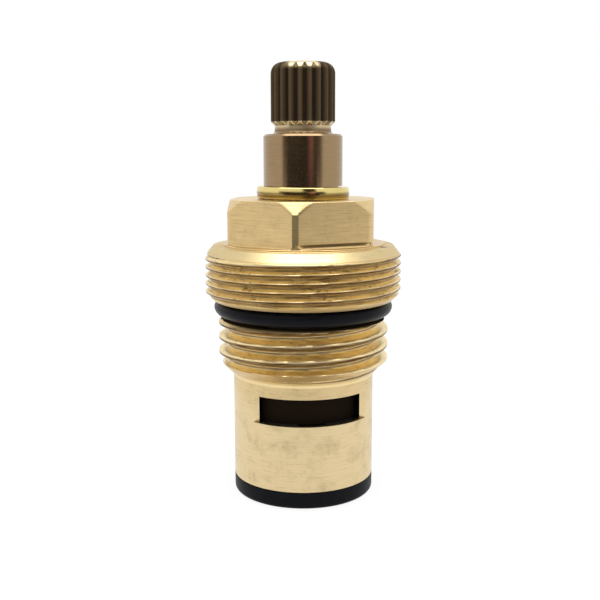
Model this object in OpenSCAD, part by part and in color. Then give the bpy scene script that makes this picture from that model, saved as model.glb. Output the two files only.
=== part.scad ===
// Quarter-turn ceramic disc tap cartridge, in millimetres.
// The origin is the centre of the seat seal's lower face, and +Z runs up the spindle.
// The outlet windows face -Y and +Y, and the spindle is drawn closed.

/* [Seat seal] */
// Step of the rubber in from the housing's outside
seal_step = 0; // [0:0.05:0.8]
// Height of rubber below the housing's rim
seal_flange_h = 2.05; // [1.2:0.05:2.6]
// Height of rubber inside the housing
seal_spigot_h = 1.6; // [1:0.1:2]
// Bore of the rubber
seal_bore = 11.6; // [9:0.1:13]
// Rounding of the rubber's lower edge
seal_edge_r = 0.5; // [0.2:0.05:0.8]
// Wall of the stiff ring inside the rubber
support_wall = 0.8; // [0.5:0.1:1.5]
// Height of the stiff ring above the seat
support_rise = 0.6; // [0.3:0.1:1]

/* [Ceramic discs] */
// Thickness of each ceramic disc
disc_t = 3.2; // [2.8:0.1:3.3]
// Inner radius of the water ports
port_inner_r = 2.4; // [1.5:0.1:3]
// Outer radius of the water ports
port_outer_r = 5.6; // [4.5:0.1:6]
// Angle that each water port takes up
port_angle = 70; // [50:1:85]
// Width of the driving tongues
tongue_w = 3; // [2:0.1:4]
// Length of the driving tongues along the radius
tongue_l = 2; // [1:0.1:2.6]
// Depth of the driving tongues in the moving disc
tongue_h = 1.2; // [0.6:0.1:2]

/* [Disc housing] */
// Outside diameter of the housing
housing_od = 17.4; // [17.1:0.1:17.8]
// Wall of the housing
housing_wall = 0.55; // [0.4:0.05:0.8]
// Length of the plain housing below the valve thread
housing_len = 13.4; // [12.5:0.1:15]
// Bevel around the housing's rim
rim_bevel = 0.15; // [0.05:0.05:0.25]
// Depth of the chamber above the rim
chamber_depth = 14.8; // [14.4:0.1:16]
// Height of the windows' lower edge above the rim
window_low = 8.1; // [8.1:0.05:9]
// Height of the windows
window_h = 3.3; // [2.5:0.1:3.6]
// Distance of the windows' milled flats from the axis
window_flat = 5.4; // [5:0.1:6.5]
// Width of the keys that hold the fixed disc
key_w = 2; // [1.5:0.1:3]
// Depth of the keys
key_depth = 0.75; // [0.5:0.05:1]

/* [Valve thread] */
// Major diameter, G 1/2
valve_major_d = 20.955; // [20.5:0.005:21.5]
// Depth of the thread, G 1/2
valve_thread_depth = 1.162; // [1:0.001:1.2]
// Pitch, 14 turns to the inch
valve_pitch = 1.814; // [1.7:0.001:2]
// Length from the plain housing to the seal groove
valve_thread_len = 6.45; // [5.5:0.05:8]
// Step out from the housing at which the thread's lower bevel starts
valve_foot_step = 0.4; // [0.1:0.02:0.6]
// Bevel at the thread's upper end
valve_tail_bevel = 0.3; // [0.1:0.1:0.6]

/* [Body seal] */
// Section of the O-ring under the flange
body_ring_section = 2.3; // [2:0.1:2.6]
// Diameter of the groove's floor
body_groove_d = 17; // [16.6:0.1:17.6]

/* [Shroud thread] */
// Major diameter, M24
shroud_major_d = 24; // [23.5:0.05:25]
// Depth of the thread, M24 x 1
shroud_thread_depth = 0.6135; // [0.5:0.0005:0.65]
// Pitch
shroud_pitch = 1; // [0.9:0.05:1.1]
// Length of the threaded flange
shroud_len = 6.65; // [5:0.05:9]
// Bevel at both ends of the flange
shroud_bevel = 0.95; // [0.5:0.05:1.2]

/* [Spanner hex] */
// Width across the flats
hex_af = 17.2; // [16.8:0.1:18.2]
// Turned diameter across the corners
hex_corner_d = 19.5; // [18.9:0.1:20.2]
// Depth of the top bevel at the corners
hex_bevel = 0.8; // [0.6:0.1:1.5]
// Height of the flats
hex_h = 5.35; // [4:0.05:8]
// Height of the round collar under the flats
hex_collar_h = 0.25; // [0.1:0.05:2]
// Step of the round collar out from the hex's corners
hex_collar_step = 0.25; // [0:0.05:0.6]
// Angle of one corner from the X axis
hex_turn = 16.5; // [0:0.5:60]

/* [Spindle] */
// Diameter of the stem
stem_d = 9.6; // [8.5:0.1:10]
// Height of the stem above the hex
stem_len = 7.7; // [3:0.05:15]
// Bevel of the stem's top edge
stem_bevel = 0.25; // [0.1:0.05:0.5]
// Diameter of the neck under the spline
neck_d = 6.8; // [6:0.1:7.2]
// Height of the neck
neck_len = 0.98; // [0.5:0.02:3]
// Diameter over the spline's teeth
spline_d = 7.75; // [7.6:0.05:8.2]
// Depth of the spline's teeth
spline_depth = 0.575; // [0.4:0.025:0.7]
// Number of teeth
spline_teeth = 20; // [16:2:24]
// Flat on each tooth's tip
spline_tip_w = 0.3; // [0.1:0.05:0.5]
// Flat between two teeth
spline_root_w = 0.2; // [0.1:0.05:0.4]
// Length of the spline
spline_len = 7.43; // [5:0.01:14]
// Rounding of the spline's top edge
spline_edge_r = 1.3; // [0.4:0.1:1.5]
// Angle of one tooth from the X axis
spline_turn = 4.5; // [0:0.5:18]
// Drilled diameter of the handle screw's hole, M4
screw_hole_d = 3.3; // [2.5:0.1:3.6]
// Depth of the handle screw's hole
screw_hole_depth = 11; // [6:0.5:16]
// Bevel at the mouth of the handle screw's hole
screw_hole_bevel = 0.4; // [0.1:0.1:0.6]

/* [Spindle seals] */
// Section of the spindle's O-rings
spindle_ring_section = 1.4; // [1:0.1:1.8]
// Depth of the upper O-ring below the top of the hex
upper_ring_drop = 3.2; // [2.5:0.1:4]
// Depth of the lower O-ring below the top of the hex
lower_ring_drop = 6.8; // [6.2:0.1:9]

/* [Retaining clip] */
// Outside diameter of the clip
clip_od = 11.3; // [10.8:0.1:13]
// Thickness of the clip
clip_t = 1.4; // [0.9:0.1:2]
// Depth of the clip's groove in the stem
clip_groove_depth = 0.55; // [0.3:0.05:0.8]
// Bevel of the clip's edges
clip_bevel = 0.15; // [0.1:0.05:0.4]
// Angle of the clip's gap
clip_gap_angle = 36; // [20:1:80]

/* [Drive and stops] */
// Turn of the spindle between its stops
turn_angle = 90; // [60:1:95]
// Angle that each driving leg takes up
leg_angle = 104; // [90:1:108]
// Angle that each stop tab above the legs takes up
tab_angle = 76; // [60:1:78]
// Slack at each end of the turn
stop_slack = 1; // [0.5:0.1:2]
// Height of the stop lugs
stop_h = 2.7; // [2:0.1:3]
// Diameter of the spindle between its legs
core_d = 6.8; // [5:0.1:8]
// Diameter of the spindle between the stop lugs
hub_d = 10.6; // [9.6:0.1:11]
// Diameter of the thrust collar
collar_d = 11.8; // [11:0.1:13]
// Depth of the thrust collar's seat above the chamber
collar_seat_h = 3; // [2:0.1:3.4]
// Thickness of the thrust washer
washer_t = 0.8; // [0.5:0.1:1.2]

/* [Fits] */
// Radial clearance of a turning or floating piece
running_fit = 0.05; // [0.02:0.01:0.1]
// Clearance of a piece held still in its seat
seat_fit = 0.05; // [0.02:0.01:0.1]
// Clearance of a keyed or driven piece
key_fit = 0.12; // [0.05:0.01:0.2]
// Radial clearance between turning parts that never touch
turning_gap = 0.2; // [0.15:0.05:0.3]
// Gap between the legs' top and the chamber's ceiling
ceiling_gap = 0.4; // [0.2:0.1:0.6]
// Overlap of joined shapes within one solid
join = 0.2; // [0.1:0.05:0.3]

/* [Hidden] */
$fn = 96;

metric_half_angle = 30;
pipe_half_angle = 27.5;
hex_bevel_angle = 30;
spline_bevel_angle = 45;
half_turn = [0, 180];
window_angle = 90;
stop_angle = 180 - turn_angle - tab_angle - 2 * stop_slack;
// A closed spindle's tab faces the rear window, and a stop lug stands behind its trailing edge
stop_centre = window_angle - tab_angle / 2 - stop_slack - stop_angle / 2;

// Heights, from the seat upwards
z_rim = seal_flange_h;
z_seal_top = z_rim + seal_spigot_h;
z_moving = z_seal_top + disc_t;
z_legs = z_moving + disc_t;
z_window = z_rim + window_low;
z_chamber = z_rim + chamber_depth;
z_stops = z_chamber - stop_h;
z_leg_top = z_stops - turning_gap;
z_collar = z_chamber - ceiling_gap;
z_collar_seat = z_chamber + collar_seat_h;
z_journal = z_collar_seat - washer_t;
z_valve = z_rim + housing_len;
z_groove = z_valve + valve_thread_len;
z_flange = z_groove + body_ring_section + seat_fit;
z_shoulder = z_flange + shroud_len;
z_hex = z_shoulder + hex_collar_h;
z_hex_top = z_hex + hex_h;
z_clip = z_hex_top + seat_fit;
z_stem_top = z_hex_top + stem_len;
z_spline = z_stem_top + neck_len;
z_top = z_spline + spline_len;

// Radii
housing_r = housing_od / 2 - housing_wall;
moving_r = housing_r - key_depth - turning_gap;
bore_r = stem_d / 2 + running_fit;
clip_groove_r = stem_d / 2 - clip_groove_depth;
spindle_ring_r = bore_r - running_fit - spindle_ring_section / 2;
body_ring_r = body_groove_d / 2 + seat_fit + body_ring_section / 2;
support_r = seal_bore / 2 - seat_fit;

// Ring of rectangular section, over all or part of a turn
module ring(inner_r, outer_r, low, high, angle = 360) {
  rotate_extrude(angle = angle)
    translate([inner_r, low])
      square([outer_r - inner_r, high - low]);
}

// Two opposite sectors of a ring, the first centred on an angle
module opposite_sectors(inner_r, outer_r, low, high, centre, angle) {
  for (turn = half_turn)
    rotate(centre - angle / 2 + turn)
      ring(inner_r, outer_r, low, high, angle);
}

// Two opposite blocks that lie along the radius, centred on an angle
module opposite_blocks(inner_r, outer_r, width, low, high, centre) {
  for (turn = half_turn)
    rotate(centre + turn)
      translate([inner_r, -width / 2, low])
        cube([outer_r - inner_r, width, high - low]);
}

// Thread of one pitch drawn as rings, with a crest at half its length and bevelled ends
module thread(major_r, depth, pitch, len, half_angle, low_bevel, high_bevel) {
  minor_r = major_r - depth;
  flank = depth * tan(half_angle);
  flat = (pitch - 2 * flank) / 2;
  turns = ceil(len / pitch / 2) + 1;
  start = len / 2 - (turns + 0.5) * pitch - flat / 2;
  outline = [for (i = [0:2 * turns]) let (z = start + i * pitch) each [
    [minor_r, z],
    [minor_r, z + flat],
    [major_r, z + flat + flank],
    [major_r, z + 2 * flat + flank]]];
  stop = start + (2 * turns + 1) * pitch;
  intersection() {
    rotate_extrude()
      polygon(concat([[0, start]], outline, [[minor_r, stop], [0, stop]]));
    rotate_extrude()
      polygon([
        [0, 0],
        [major_r - low_bevel, 0],
        [major_r, low_bevel],
        [major_r, len - high_bevel],
        [major_r - high_bevel, len],
        [0, len]]);
  }
}

// Hexagon with turned corners and a bevelled top, on its round collar
module spanner_hex() {
  corner_r = hex_corner_d / 2;
  bevel_h = hex_bevel / tan(hex_bevel_angle);
  translate([0, 0, z_shoulder - join])
    cylinder(r = corner_r + hex_collar_step, h = hex_collar_h + join);
  intersection() {
    translate([0, 0, z_hex - join])
      rotate(hex_turn)
        cylinder(d = hex_af / cos(30), h = hex_h + join, $fn = 6);
    rotate_extrude()
      polygon([
        [0, z_hex - join],
        [corner_r, z_hex - join],
        [corner_r, z_hex_top - bevel_h],
        [corner_r - hex_bevel, z_hex_top],
        [0, z_hex_top]]);
  }
}

// Milled outlet windows, each cut in to a flat
module windows() {
  reach = housing_od;
  for (turn = half_turn)
    rotate(turn)
      translate([-reach, window_flat, z_window])
        cube([2 * reach, reach, window_h]);
}

// Solid outside of the body, from the rim to the top of the hex
module body_outside() {
  translate([0, 0, z_rim])
    cylinder(d1 = housing_od - 2 * rim_bevel, d2 = housing_od, h = rim_bevel);
  translate([0, 0, z_rim + rim_bevel])
    cylinder(d = housing_od, h = housing_len - rim_bevel + join);
  translate([0, 0, z_valve])
    thread(valve_major_d / 2, valve_thread_depth, valve_pitch, valve_thread_len, pipe_half_angle,
      (valve_major_d - housing_od) / 2 - valve_foot_step, valve_tail_bevel);
  translate([0, 0, z_groove - join])
    cylinder(d = body_groove_d, h = z_flange - z_groove + 2 * join);
  translate([0, 0, z_flange])
    thread(shroud_major_d / 2, shroud_thread_depth, shroud_pitch, shroud_len, metric_half_angle,
      shroud_bevel, shroud_bevel);
  spanner_hex();
}

// Bores of the body, from the chamber to the top of the hex
module body_bores() {
  mouth_bevel = stem_bevel;
  translate([0, 0, z_rim - join])
    cylinder(r = housing_r, h = chamber_depth + join);
  translate([0, 0, z_chamber - join])
    cylinder(r = collar_d / 2 + turning_gap, h = collar_seat_h + join);
  translate([0, 0, z_collar_seat - join])
    cylinder(r = bore_r, h = z_hex_top - z_collar_seat + 2 * join);
  translate([0, 0, z_hex_top - mouth_bevel])
    cylinder(r1 = bore_r, r2 = bore_r + mouth_bevel, h = mouth_bevel);
}

module headwork_body() {
  color("#c8a765") {
    difference() {
      body_outside();
      body_bores();
      windows();
    }
    opposite_sectors(collar_d / 2 + 2 * turning_gap, housing_r + join, z_stops, z_chamber + join,
      stop_centre, stop_angle);
    opposite_blocks(housing_r - key_depth, housing_r + join, key_w, z_rim + rim_bevel, z_moving, 0);
  }
}

function polar(r, angle) = r * [cos(angle), sin(angle)];

// Point a little past the second of two points, on the line through both
function past(from, to) = to + join * (to - from) / norm(to - from);

// Toothed end of the spindle, with a bevelled foot and a rounded top edge
module spline() {
  tip_r = spline_d / 2;
  root_r = tip_r - spline_depth;
  tip_half = asin(spline_tip_w / 2 / tip_r);
  root_half = asin(spline_root_w / 2 / root_r);
  half_pitch = 180 / spline_teeth;
  slope = tan(spline_bevel_angle);
  z_low = z_spline - join / slope;
  z_tip = z_spline + (tip_r - neck_d / 2) / slope;
  corners = [for (i = [0:spline_teeth - 1])
    let (
      a = spline_turn + 2 * half_pitch * i,
      low_root = polar(root_r, a - half_pitch + root_half),
      low_tip = polar(tip_r, a - tip_half),
      high_tip = polar(tip_r, a + tip_half),
      high_root = polar(root_r, a + half_pitch - root_half))
    each [low_root, past(low_root, low_tip), past(high_root, high_tip), high_root]];
  intersection() {
    translate([0, 0, z_low])
      linear_extrude(z_top - z_low)
        polygon(corners);
    rotate_extrude() {
      polygon([
        [0, z_low],
        [neck_d / 2 - join, z_low],
        [tip_r, z_tip],
        [tip_r, z_top - spline_edge_r],
        [0, z_top - spline_edge_r]]);
      translate([0, z_top - 2 * spline_edge_r])
        square([tip_r - spline_edge_r, 2 * spline_edge_r]);
      translate([tip_r - spline_edge_r, z_top - spline_edge_r])
        circle(r = spline_edge_r);
    }
  }
}

// Turned part of the spindle, from between the legs to the neck
module spindle_turning() {
  stem_r = stem_d / 2;
  translate([0, 0, z_legs])
    cylinder(d = core_d, h = z_collar - z_legs);
  translate([0, 0, z_leg_top - join])
    cylinder(d = hub_d, h = z_collar - z_leg_top + 2 * join);
  translate([0, 0, z_collar])
    cylinder(d = collar_d, h = z_journal - z_collar);
  translate([0, 0, z_journal - join])
    cylinder(r = stem_r, h = z_stem_top - stem_bevel - z_journal + join);
  translate([0, 0, z_stem_top - stem_bevel])
    cylinder(r1 = stem_r, r2 = stem_r - stem_bevel, h = stem_bevel);
  translate([0, 0, z_stem_top - join])
    cylinder(d = neck_d, h = neck_len + 2 * join);
}

// Grooves of the spindle and the hole for the handle screw
module spindle_cuts() {
  outside_r = stem_d / 2 + join;
  floor_r = spindle_ring_r - spindle_ring_section / 2 - seat_fit;
  half_w = spindle_ring_section / 2 + seat_fit;
  for (drop = [upper_ring_drop, lower_ring_drop])
    ring(floor_r, outside_r, z_hex_top - drop - half_w, z_hex_top - drop + half_w);
  ring(clip_groove_r, outside_r, z_clip - seat_fit, z_clip + clip_t + seat_fit);
  translate([0, 0, z_top - screw_hole_depth])
    cylinder(d = screw_hole_d, h = screw_hole_depth + join);
  translate([0, 0, z_top - screw_hole_bevel])
    cylinder(d1 = screw_hole_d, d2 = screw_hole_d + 4 * screw_hole_bevel, h = 2 * screw_hole_bevel);
}

module spindle() {
  color("#a8834a") {
    difference() {
      union() {
        spindle_turning();
        spline();
      }
      spindle_cuts();
    }
    opposite_sectors(core_d / 2 - join, moving_r, z_legs, z_leg_top, window_angle, leg_angle);
    opposite_sectors(core_d / 2 - join, moving_r, z_leg_top - 2 * join, z_collar, window_angle, tab_angle);
    opposite_blocks(moving_r - tongue_l, moving_r - join, tongue_w, z_legs - tongue_h, z_legs + join,
      window_angle);
  }
}

module retaining_clip() {
  outer_r = clip_od / 2;
  inner_r = clip_groove_r + seat_fit;
  color("#e0b84f")
    translate([0, 0, z_clip])
      rotate(90 + clip_gap_angle / 2)
        rotate_extrude(angle = 360 - clip_gap_angle)
          polygon([
            [inner_r, 0],
            [outer_r - clip_bevel, 0],
            [outer_r, clip_bevel],
            [outer_r, clip_t - clip_bevel],
            [outer_r - clip_bevel, clip_t],
            [inner_r, clip_t]]);
}

// Round-section rubber ring
module o_ring(centre_r, section, height) {
  color("#17181b")
    translate([0, 0, height])
      rotate_extrude()
        translate([centre_r, 0])
          circle(d = section);
}

module body_o_ring() {
  o_ring(body_ring_r, body_ring_section, (z_groove + z_flange) / 2);
}

module upper_spindle_o_ring() {
  o_ring(spindle_ring_r, spindle_ring_section, z_hex_top - upper_ring_drop);
}

module lower_spindle_o_ring() {
  o_ring(spindle_ring_r, spindle_ring_section, z_hex_top - lower_ring_drop);
}

module thrust_washer() {
  color("#e9e6da")
    ring(bore_r + seat_fit, collar_d / 2, z_journal, z_collar_seat);
}

module moving_disc() {
  color("#f2efe8")
    difference() {
      translate([0, 0, z_moving])
        cylinder(r = moving_r, h = disc_t);
      opposite_sectors(port_inner_r, port_outer_r, z_moving - join, z_legs + join,
        window_angle + 90, port_angle);
      opposite_blocks(moving_r - tongue_l - key_fit, moving_r + join, tongue_w + 2 * key_fit,
        z_legs - tongue_h - key_fit, z_legs + join, window_angle);
    }
}

module fixed_disc() {
  color("#f2efe8")
    difference() {
      translate([0, 0, z_seal_top])
        cylinder(r = housing_r - seat_fit, h = disc_t);
      opposite_sectors(port_inner_r, port_outer_r, z_seal_top - join, z_moving + join,
        window_angle, port_angle);
      opposite_blocks(housing_r - key_depth - key_fit, housing_r + join, key_w + 2 * key_fit,
        z_seal_top - join, z_moving + join, 0);
    }
}

module seat_seal() {
  flange_r = housing_od / 2 - seal_step;
  color("#17181b")
    difference() {
      union() {
        rotate_extrude() {
          square([flange_r - seal_edge_r, z_rim]);
          translate([0, seal_edge_r])
            square([flange_r, z_rim - seal_edge_r]);
          translate([flange_r - seal_edge_r, seal_edge_r])
            circle(r = seal_edge_r);
        }
        translate([0, 0, z_rim - join])
          cylinder(r = housing_r - seat_fit, h = seal_spigot_h + join);
      }
      translate([0, 0, -join])
        cylinder(d = seal_bore, h = z_seal_top + 2 * join);
      opposite_blocks(housing_r - key_depth - key_fit, housing_od, key_w + 2 * key_fit,
        z_rim, z_seal_top + join, 0);
    }
}

module seal_support_ring() {
  color("#c8a765")
    ring(support_r - support_wall, support_r, support_rise, z_seal_top);
}

headwork_body();
spindle();
retaining_clip();
body_o_ring();
upper_spindle_o_ring();
lower_spindle_o_ring();
thrust_washer();
moving_disc();
fixed_disc();
seat_seal();
seal_support_ring();
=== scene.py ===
"""Quarter-turn ceramic disc tap cartridge in brass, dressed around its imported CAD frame.

Sizes are in millimetres in every class, and turn to metres where a mesh is made.
"""

import logging
import math
from dataclasses import dataclass, field
from enum import Enum
from functools import partial

import bmesh
import bpy
import numpy as np
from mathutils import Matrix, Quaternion, Vector


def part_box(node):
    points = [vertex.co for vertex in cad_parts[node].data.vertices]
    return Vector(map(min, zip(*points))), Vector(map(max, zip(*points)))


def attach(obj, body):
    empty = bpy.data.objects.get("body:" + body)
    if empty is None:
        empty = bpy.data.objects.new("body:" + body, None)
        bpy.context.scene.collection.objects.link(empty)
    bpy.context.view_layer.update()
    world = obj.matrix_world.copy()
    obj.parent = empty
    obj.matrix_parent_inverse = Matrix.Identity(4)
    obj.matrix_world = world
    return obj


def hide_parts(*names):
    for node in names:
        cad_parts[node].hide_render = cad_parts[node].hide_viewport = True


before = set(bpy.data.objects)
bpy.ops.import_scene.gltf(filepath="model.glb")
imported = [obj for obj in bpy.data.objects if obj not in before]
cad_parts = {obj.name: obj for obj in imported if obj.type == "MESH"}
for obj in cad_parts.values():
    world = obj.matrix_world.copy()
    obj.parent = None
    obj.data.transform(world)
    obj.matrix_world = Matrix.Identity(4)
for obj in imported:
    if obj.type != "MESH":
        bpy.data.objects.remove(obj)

LOG = logging.getLogger("tap_cartridge")
MM = 0.001
MERGE_DISTANCE = 1e-7
SHARP_ANGLE = math.radians(28)
# A face's normal has at least this part upwards where the face looks up, out from the axis where it looks
# out, out from it where the face is upright too, and along an axis where the face is square to that
UPWARD = 0.3
OUTWARD = 0.5
UPRIGHT = 0.9
SQUARE_ON = 0.98
# Direction of the photographer from the axis, a little round from the -Y side that an outlet window faces
CAMERA_ANGLE = math.radians(-98.25)
RIGHT_ANGLE = CAMERA_ANGLE + math.pi / 2
# A Mix node's factor, two numbers or two colours, and result, by number, because its names repeat
MIX_FACTOR, MIX_LOW, MIX_HIGH, MIX_NUMBER = 0, 2, 3, 0
MIX_FIRST, MIX_SECOND, MIX_COLOUR = 6, 7, 2


class Body(Enum):
    """CAD bodies that the pieces ride on."""

    HEADWORK = "headwork"
    SPINDLE = "spindle_group"


class Solid(Enum):
    """Ways in which one closed mesh joins another."""

    CUT = "DIFFERENCE"
    JOIN = "UNION"


class Domain(Enum):
    """Parts of a mesh that keep a number each."""

    POINT = "POINT"
    FACE = "FACE"


@dataclass(frozen=True)
class Extent:
    """Where a CAD node lies: its lowest and highest level and its largest radius."""

    low: float
    high: float
    radius: float

    @classmethod
    def of(cls, node: str) -> "Extent":
        """Reads a node's extent from the frame.

        Args:
            node: Name of the CAD node.

        Returns:
            The node's extent in millimetres.
        """
        low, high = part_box(node)
        return cls(low[2] / MM, high[2] / MM, max(high[0], high[1]) / MM)


def extent_field(node: str) -> Extent:
    """Dataclass field that reads a node's extent when its class is built."""
    return field(default_factory=partial(Extent.of, node))


def linear(colour: str) -> tuple[float, float, float, float]:
    """Turns an sRGB hex colour to linear light.

    Args:
        colour: Six hex digits after a hash sign.

    Returns:
        Red, green, blue and an alpha of one.
    """
    parts = np.array([int(colour[i:i + 2], 16) for i in (1, 3, 5)]) / 255
    light = np.where(parts <= 0.04045, parts / 12.92, ((parts + 0.055) / 1.055) ** 2.4)
    return (*light.tolist(), 1.0)


def arc(centre: tuple[float, float], radius: float, start: float, stop: float, count: int) -> np.ndarray:
    """Part of a circle in a profile.

    The point at angle a is the centre plus the radius times the cosine and sine of a.

    Args:
        centre: Distance from the axis and height of the centre.
        radius: Radius of the circle.
        start: First angle in degrees.
        stop: Last angle in degrees.
        count: Number of points.

    Returns:
        Points as distance from the axis and height.
    """
    angle = np.radians(np.linspace(start, stop, count))
    return np.stack([centre[0] + radius * np.cos(angle), centre[1] + radius * np.sin(angle)], axis=1)


def upright(radius: float, low: float, high: float, count: int) -> np.ndarray:
    """Straight line of profile points at one distance from the axis, from a low to a high level."""
    return np.stack([np.full(count, radius), np.linspace(low, high, count)], axis=1)


def turned(radius: np.ndarray, height: np.ndarray, angle: np.ndarray) -> np.ndarray:
    """Points around the axis.

    A point lies at its radius times the cosine and sine of its angle, and at its height.

    Args:
        radius: Distance from the axis for each row and column.
        height: Height for each row and column.
        angle: Angle in radians for each row and column.

    Returns:
        Points as rows x columns x 3.
    """
    radius, height, angle = np.broadcast_arrays(radius, height, angle)
    return np.stack([radius * np.cos(angle), radius * np.sin(angle), height], axis=-1)


def grid_mesh(name: str, points: np.ndarray, loop_rows: bool = False) -> bpy.types.Mesh:
    """Closed mesh over a grid of points.

    Point (i, j) forms a quad with (i, j + 1), (i + 1, j + 1) and (i + 1, j), and the columns loop. Points
    that coincide are merged, so a row that shrinks to one point closes an end.

    Args:
        name: Name of the mesh.
        points: Points in millimetres as rows x columns x 3.
        loop_rows: Whether the last row joins the first.

    Returns:
        The mesh in metres, with its faces pointing outwards.
    """
    rows, cols = points.shape[:2]
    low = np.arange(rows if loop_rows else rows - 1)[:, None] * cols
    high = (low + cols) % (rows * cols)
    here = np.arange(cols)[None, :]
    beside = (here + 1) % cols
    quads = np.stack([low + here, low + beside, high + beside, high + here], axis=-1).reshape(-1, 4)
    mesh = bpy.data.meshes.new(name)
    mesh.from_pydata((points.reshape(-1, 3) * MM).tolist(), [], quads.tolist())
    work = bmesh.new()
    work.from_mesh(mesh)
    bmesh.ops.remove_doubles(work, verts=work.verts, dist=MERGE_DISTANCE)
    if work.calc_volume(signed=True) < 0:
        bmesh.ops.reverse_faces(work, faces=work.faces)
    work.to_mesh(mesh)
    work.free()
    return mesh


def sweep_mesh(name: str, profile: np.ndarray, start: float, stop: float, steps: int) -> bpy.types.Mesh:
    """Closed profile carried round part of a turn, with both ends closed.

    Each row is the whole profile at one angle, and the first and last rows shrink to the profile's middle.

    Args:
        name: Name of the mesh.
        profile: Loop of points as distance from the axis and height.
        start: First angle in radians.
        stop: Last angle in radians.
        steps: Number of profiles along the way.

    Returns:
        The mesh in metres.
    """
    angle = np.linspace(start, stop, steps)
    angle = np.concatenate([angle[:1], angle, angle[-1:]])[:, None]
    rows = np.repeat(profile[None], len(angle), axis=0)
    rows[[0, -1]] = profile.mean(axis=0)
    return grid_mesh(name, turned(rows[..., 0], rows[..., 1], angle))


def places(mesh: bpy.types.Mesh) -> np.ndarray:
    """Places of a mesh's points in millimetres, as count x 3."""
    place = np.empty(len(mesh.vertices) * 3, dtype=np.float32)
    mesh.vertices.foreach_get("co", place)
    return place.reshape(-1, 3).astype(float) / MM


def faces(mesh: bpy.types.Mesh) -> tuple[np.ndarray, np.ndarray]:
    """Middles of a mesh's faces in millimetres and their outward directions, each as count x 3."""
    middle, normal = np.empty((2, len(mesh.polygons) * 3), dtype=np.float32)
    mesh.polygons.foreach_get("center", middle)
    mesh.polygons.foreach_get("normal", normal)
    return middle.reshape(-1, 3).astype(float) / MM, normal.reshape(-1, 3).astype(float)


def mark(mesh: bpy.types.Mesh, domain: Domain, **values: np.ndarray) -> None:
    """Keeps numbers of each point or face as attributes of a mesh, which its finish reads.

    Args:
        mesh: The mesh, when its shape is done.
        domain: Whether the numbers belong to points or faces.
        values: One number for each point or face, by attribute name.
    """
    for key, value in values.items():
        layer = mesh.attributes.new(key, "FLOAT", domain.value)
        layer.data.foreach_set("value", value.astype(np.float32))


def polar(place: np.ndarray) -> tuple[np.ndarray, np.ndarray, np.ndarray]:
    """Distance from the axis, angle and height of each place."""
    return np.hypot(place[:, 0], place[:, 1]), np.arctan2(place[:, 1], place[:, 0]), place[:, 2]


def apart(angle: np.ndarray, centre: float) -> np.ndarray:
    """Angle between each angle and a centre, the short way round."""
    return np.abs(np.mod(angle - centre + math.pi, 2 * math.pi) - math.pi)


def unrolled(parts: dict[str, np.ndarray], columns: int) -> tuple[dict[str, slice], np.ndarray, np.ndarray]:
    """Lays out the stretches of a turned profile as the rows of a grid.

    Args:
        parts: Stretches of the profile by name, in order.
        columns: Number of columns round the axis.

    Returns:
        The rows of each stretch, the distance from the axis of each row and column, and each row's height.
    """
    ends = np.cumsum([len(points) for points in parts.values()])
    rows = {key: slice(end - len(parts[key]), end) for key, end in zip(parts, ends)}
    flat = np.concatenate(list(parts.values()))
    return rows, np.repeat(flat[:, :1], columns, axis=1), flat[:, 1:]


def rounded_box_loop(inner: float, outer: float, low: float, high: float, edge: float) -> np.ndarray:
    """Loop of a rectangular section with bevelled corners, as distance from the axis and height."""
    return np.array([
        (inner + edge, low), (outer - edge, low), (outer, low + edge), (outer, high - edge),
        (outer - edge, high), (inner + edge, high), (inner, high - edge), (inner, low + edge)])


def combine(piece: bpy.types.Object, tool: bpy.types.Mesh, how: Solid) -> None:
    """Cuts a closed mesh out of a piece, or joins it on.

    Args:
        piece: The piece, whose mesh is replaced.
        tool: The closed mesh, which is removed afterwards.
        how: Whether it is cut or joined.
    """
    helper = bpy.data.objects.new("tool", tool)
    bpy.context.scene.collection.objects.link(helper)
    step = piece.modifiers.new("step", "BOOLEAN")
    step.operation = how.value
    step.solver = "MANIFOLD"
    step.object = helper
    seen = piece.evaluated_get(bpy.context.evaluated_depsgraph_get())
    result = bpy.data.meshes.new_from_object(seen)
    before = piece.data
    piece.modifiers.clear()
    piece.data = result
    result.name = piece.name
    bpy.data.objects.remove(helper)
    bpy.data.meshes.remove(tool)
    bpy.data.meshes.remove(before)


def show(name: str, mesh: bpy.types.Mesh) -> bpy.types.Object:
    """Puts a mesh into the scene as an object at the origin."""
    piece = bpy.data.objects.new(name, mesh)
    bpy.context.scene.collection.objects.link(piece)
    return piece


def dress(
        piece: bpy.types.Object, finish: bpy.types.Material, body: Body,
        node: str) -> bpy.types.Object:
    """Shades a piece, gives it its finish and puts it in its CAD node's place.

    Args:
        piece: The piece.
        finish: Material of the whole piece.
        body: CAD body that it rides on.
        node: CAD node that it stands for.

    Returns:
        The same piece.
    """
    piece.data.shade_smooth()
    piece.data.set_sharp_from_angle(angle=SHARP_ANGLE)
    piece.data.materials.clear()
    piece.data.materials.append(finish)
    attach(piece, body.value)
    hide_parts(node)
    return piece


def add(
        tree: bpy.types.NodeTree, kind: str, inputs: dict | None = None,
        **settings: object) -> bpy.types.Node:
    """Adds a node with its settings, and sets or links its inputs.

    Args:
        tree: Tree that gets the node.
        kind: Blender's name of the node type, without the ShaderNode that it starts with.
        inputs: Values or output sockets by input name or number.
        settings: Properties of the node.

    Returns:
        The node.
    """
    node = tree.nodes.new("ShaderNode" + kind)
    for key, value in settings.items():
        setattr(node, key, value)
    for key, value in (inputs or {}).items():
        if isinstance(value, bpy.types.NodeSocket):
            tree.links.new(value, node.inputs[key])
        else:
            node.inputs[key].default_value = value
    return node


def blank_material(name: str) -> tuple[bpy.types.Material, bpy.types.NodeTree]:
    """Material whose node tree is empty, and that tree."""
    material = bpy.data.materials.new(name)
    material.use_nodes = True
    material.node_tree.nodes.clear()
    return material, material.node_tree


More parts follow.
